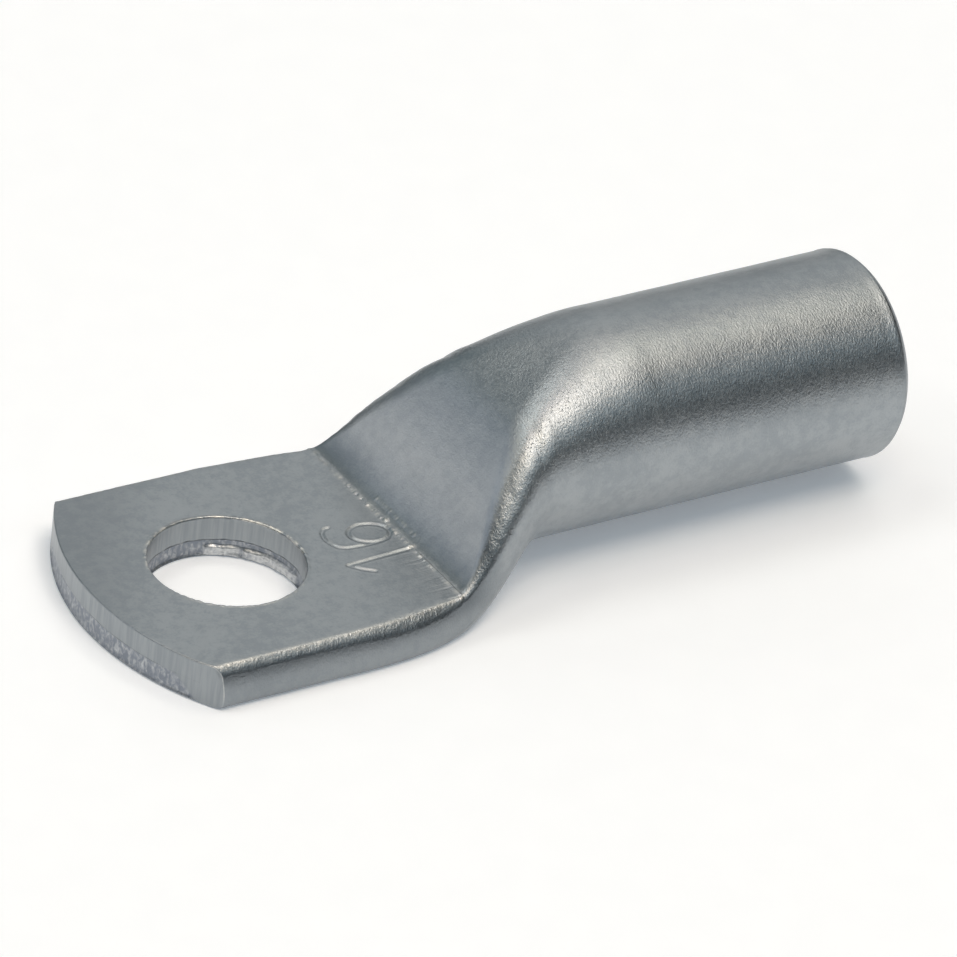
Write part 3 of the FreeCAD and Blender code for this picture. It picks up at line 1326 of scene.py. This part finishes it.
@dataclass(frozen=True)
class ShearedMetal:
    """The punched and cut faces: streaked down the cut where burnished, grainy where torn, with painted shade on
    the torn band and a painted highlight on its lumps.
    """

    light: Rgba = (0.33, 0.354, 0.372, 1.0)
    dark: Rgba = (0.275, 0.30, 0.32, 1.0)
    # Ends of the torn colour: light for the grain and a painted highlight on the lumps, dark for the grain and
    # painted shade
    torn_grain_and_lump_highlight: Rgba = (0.72, 0.73, 0.73, 1.0)
    torn_grain_and_shade: Rgba = (0.245, 0.27, 0.31, 1.0)
    roughness: float = 0.36
    torn_roughness: float = 0.45
    streak_depth: float = 10e-6

    def material(self) -> bpy.types.Material:
        """Builds the finish.

        Returns:
            The material.
        """
        s = Shader("sheared_metal")
        torn, lumps = s.mask("torn"), s.mask("lumps")
        streak = s.grain((8000, 8000, 500), 2.0)
        grain = s.grain((6500, 6500, 4200), 3.0, warp=0.6)
        unshaded = s.tint(s.mapped(streak, 0.30, 0.70), self.dark, self.light)
        # The torn band darkened as painted shade; the lumps lifted towards the light end as a painted highlight
        torn_with_shade = s.tint(s.mapped(grain + lumps * 0.32, 0.36, 1.0), self.torn_grain_and_shade, self.torn_grain_and_lump_highlight)
        rough = s.mapped(torn, 0.0, 1.0, self.roughness, self.torn_roughness)
        height = streak * (1 - torn) * 0.6 + grain * torn * 1.1
        colour = s.tint(torn, unshaded, torn_with_shade)
        return s.surface(height, self.streak_depth, Base_Color=colour, Metallic=1.0, Roughness=rough)


@dataclass(frozen=True)
class BoreTin:
    """The wire's bore: duller tin with faint drawing lines along the tube."""

    light: Rgba = (0.36, 0.368, 0.372, 1.0)
    dark: Rgba = (0.28, 0.292, 0.30, 1.0)
    roughness: float = 0.42
    line_depth: float = 10e-6

    def material(self) -> bpy.types.Material:
        """Builds the finish.

        Returns:
            The material.
        """
        s = Shader("bore_tin")
        drawn, cloud = s.grain((350, 7000, 7000), 2.0), s.grain(800, 3.0)
        colour = s.tint(s.mapped(cloud, 0.35, 0.65), self.dark, self.light)
        rough = s.mapped(drawn, 0.3, 0.7, self.roughness - 0.04, self.roughness + 0.06)
        height = drawn + cloud * 0.5
        return s.surface(height, self.line_depth, Base_Color=colour, Metallic=1.0, Roughness=rough)


@dataclass(frozen=True)
class PaperFloor:
    """Matt white paper under the lug, lit a little from below as on a light table."""

    light: Rgba = (0.86, 0.89, 0.93, 1.0)
    dark: Rgba = (0.845, 0.875, 0.916, 1.0)
    roughness: float = 0.95
    fibre_depth: float = 4e-6
    glow: float = 0.20
    glow_tint: Rgba = (0.92, 0.96, 1.0, 1.0)

    def material(self) -> bpy.types.Material:
        """Builds the finish.

        Returns:
            The material.
        """
        s = Shader("paper_floor")
        fibre = s.grain(700, 3.0)
        return s.surface(
            fibre,
            self.fibre_depth,
            Base_Color=s.tint(s.mapped(fibre, 0.3, 0.7), self.dark, self.light),
            Roughness=self.roughness,
            Emission_Color=self.glow_tint,
            Emission_Strength=self.glow,
        )


# The lug and its studio


def hang(name: str, data: bpy.types.Mesh | bpy.types.Light | bpy.types.Camera) -> bpy.types.Object:
    """Adds an object to the scene.

    Args:
        name: Its name.
        data: What it shows.

    Returns:
        The object.
    """
    thing = bpy.data.objects.new(name, data)
    bpy.context.scene.collection.objects.link(thing)
    return thing


@dataclass
class CableLug:
    """The ring terminal: one tinned copper tube, pressed flat, punched and stamped."""

    form: LugForm = field(default_factory=LugForm)
    name: str = "lug_body"

    def build(self) -> bpy.types.Object:
        """Builds, marks and dresses the lug.

        Returns:
            The lug's object, riding on its body in place of the solid.
        """
        grids = LugMesh(self.form)
        grids.build()
        me = grids.mesh(self.name)
        for finish in (TinSkin(), ShearedMetal(), BoreTin()):
            me.materials.append(finish.material())
        Marks(self.form).apply(me)
        me.polygons.foreach_set("use_smooth", np.ones(len(me.polygons), bool))
        me.update()
        lug = hang(self.name, me)
        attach(lug, "root")
        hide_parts("cable_lug")
        LOG.info("%s: %d points, %d faces", self.name, len(me.vertices), len(me.polygons))
        return lug


@dataclass(frozen=True)
class Panel:
    """A soft light panel, given by the part of the view from the lug that it fills, in degrees."""

    name: str
    azimuth: float
    elevation: float
    wide: float
    tall: float
    light: tuple[float, float, float]
    distance: float = 0.8
    widest: float = 62.0

    def place(self, target: Vector) -> None:
        """Hangs the panel facing the lug, in as many flat leaves as its width needs.

        Args:
            target: Where it faces, in metres.
        """
        leaves = math.ceil(self.wide / self.widest)
        each = self.wide / leaves
        for i in range(leaves):
            self.leaf(target, self.azimuth - self.wide / 2 + each / 2 + i * each, each)

    def leaf(self, target: Vector, azimuth: float, wide: float) -> None:
        """Hangs one flat leaf.

        Args:
            target: Where it faces, in metres.
            azimuth: Its direction from the target, from +X towards +Y.
            wide: The angle it fills across.
        """
        a, e = math.radians(azimuth), math.radians(self.elevation)
        away = Vector((math.cos(a) * math.cos(e), math.sin(a) * math.cos(e), math.sin(e)))
        across = 2 * self.distance * math.tan(math.radians(wide / 2)) * math.cos(e)
        upright = 2 * self.distance * math.tan(math.radians(self.tall / 2))
        strongest = max(self.light)
        data = bpy.data.lights.new(self.name, "AREA")
        data.shape = "RECTANGLE"
        data.size, data.size_y = across, upright
        data.energy = strongest * across * upright * math.pi
        data.color = [part / strongest for part in self.light]
        light = hang(self.name, data)
        light.location = target + away * self.distance
        light.rotation_mode = "QUATERNION"
        light.rotation_quaternion = away.to_track_quat("Z", "Y")


@dataclass
class Studio:
    """Pale paper floor, soft panels and the camera."""

    floor_half: float = 3.0
    floor_drop: float = 0.00002
    sky: float = 0.02
    middle: tuple[float, float, float] = (0.010, 0.0, 0.003)
    panels: tuple[Panel, ...] = (
        Panel("back_wall", 50.0, 32.0, 62.0, 42.0, (0.69, 0.71, 0.71)),
        Panel("back_dim", 106.0, 28.0, 46.0, 24.0, (0.28, 0.36, 0.38)),
        Panel("left_low", 138.0, 11.0, 22.0, 16.0, (1.65, 1.60, 1.55)),
        Panel("left_wall", 138.0, 30.0, 22.0, 20.0, (0.53, 0.57, 0.65)),
        Panel("left_far", 160.0, 30.0, 20.0, 20.0, (0.90, 1.03, 1.20)),
        Panel("left_up", 165.0, 49.0, 34.0, 17.0, (1.50, 1.35, 1.10)),
        Panel("front_low", 285.0, 42.0, 60.0, 20.0, (0.52, 0.69, 0.77)),
        Panel("camera_side", 225.0, 42.0, 50.0, 20.0, (0.36, 0.49, 0.58)),
        Panel("right_top", 0.0, 67.0, 60.0, 20.0, (2.85, 2.69, 2.30)),
        Panel("back_top", 60.0, 67.0, 60.0, 20.0, (0.98, 0.89, 0.84)),
        Panel("left_top", 130.0, 67.0, 60.0, 20.0, (2.78, 2.83, 2.68)),
        Panel("front_left", 240.0, 66.0, 40.0, 22.0, (3.68, 3.10, 2.30)),
        Panel("front_key", 280.0, 66.0, 40.0, 22.0, (7.73, 6.93, 6.20)),
        Panel("high", 255.0, 83.0, 150.0, 14.0, (2.85, 2.35, 2.27)),
    )
    # The camera: lens and frame in pixels, angles in radians, lengths in millimetres
    lens_pixels: float = 8494.2532
    frame_pixels: float = 957.0
    azimuth: float = -0.6202929507
    elevation: float = 0.5601533026
    roll: float = 0.1247319226
    distance: float = 289.40822503
    offset: tuple[float, float] = (-8.710143045, -4.151720570)
    sensor_width: float = 36.0
    # Nearest and furthest that the camera sees, in metres
    clip: tuple[float, float] = (0.01, 20.0)

    def floor(self) -> None:
        """Lays the paper under the lug."""
        h, z = self.floor_half, -self.floor_drop
        me = bpy.data.meshes.new("floor")
        me.from_pydata([(-h, -h, z), (h, -h, z), (h, h, z), (-h, h, z)], [], [(0, 1, 2, 3)])
        me.materials.append(PaperFloor().material())
        hang("floor", me)

    def lights(self) -> None:
        """Sets the sky's even light and the panels."""
        world = bpy.data.worlds.new("studio")
        world.use_nodes = True
        sky = world.node_tree.nodes["Background"]
        sky.inputs["Color"].default_value = (1.0, 1.0, 1.0, 1.0)
        sky.inputs["Strength"].default_value = self.sky
        bpy.context.scene.world = world
        for panel in self.panels:
            panel.place(Vector(self.middle))

    def camera(self) -> None:
        """Sets the camera at the photograph's angle."""
        ca, sa = math.cos(self.azimuth), math.sin(self.azimuth)
        ce, se = math.cos(self.elevation), math.sin(self.elevation)
        back = Vector((sa * ce, -ca * ce, se))
        right = Vector((ca, sa, 0.0))
        up = back.cross(right)
        across = right * math.cos(self.roll) + up * math.sin(self.roll)
        upward = up * math.cos(self.roll) - right * math.sin(self.roll)
        place = back * self.distance - across * self.offset[0] - upward * self.offset[1]
        data = bpy.data.cameras.new("camera")
        data.sensor_width = self.sensor_width
        data.lens = self.lens_pixels / self.frame_pixels * data.sensor_width
        data.clip_start, data.clip_end = self.clip
        camera = hang("camera", data)
        turn = Matrix((across, upward, back)).transposed()
        camera.matrix_world = Matrix.Translation(place * MM) @ turn.to_4x4()
        bpy.context.scene.camera = camera

    def build(self) -> None:
        """Builds the whole studio."""
        self.floor()
        self.lights()
        self.camera()
        bpy.context.scene.view_settings.view_transform = "Standard"


def main() -> None:
    """Builds the lug and its studio."""
    logging.basicConfig(level=logging.INFO, format="%(name)s: %(message)s")
    lug = CableLug().build()
    LOG.info("built %s", lug.name)
    Studio().build()
    LOG.info("built the studio")


if __name__ == "__main__":
    main()
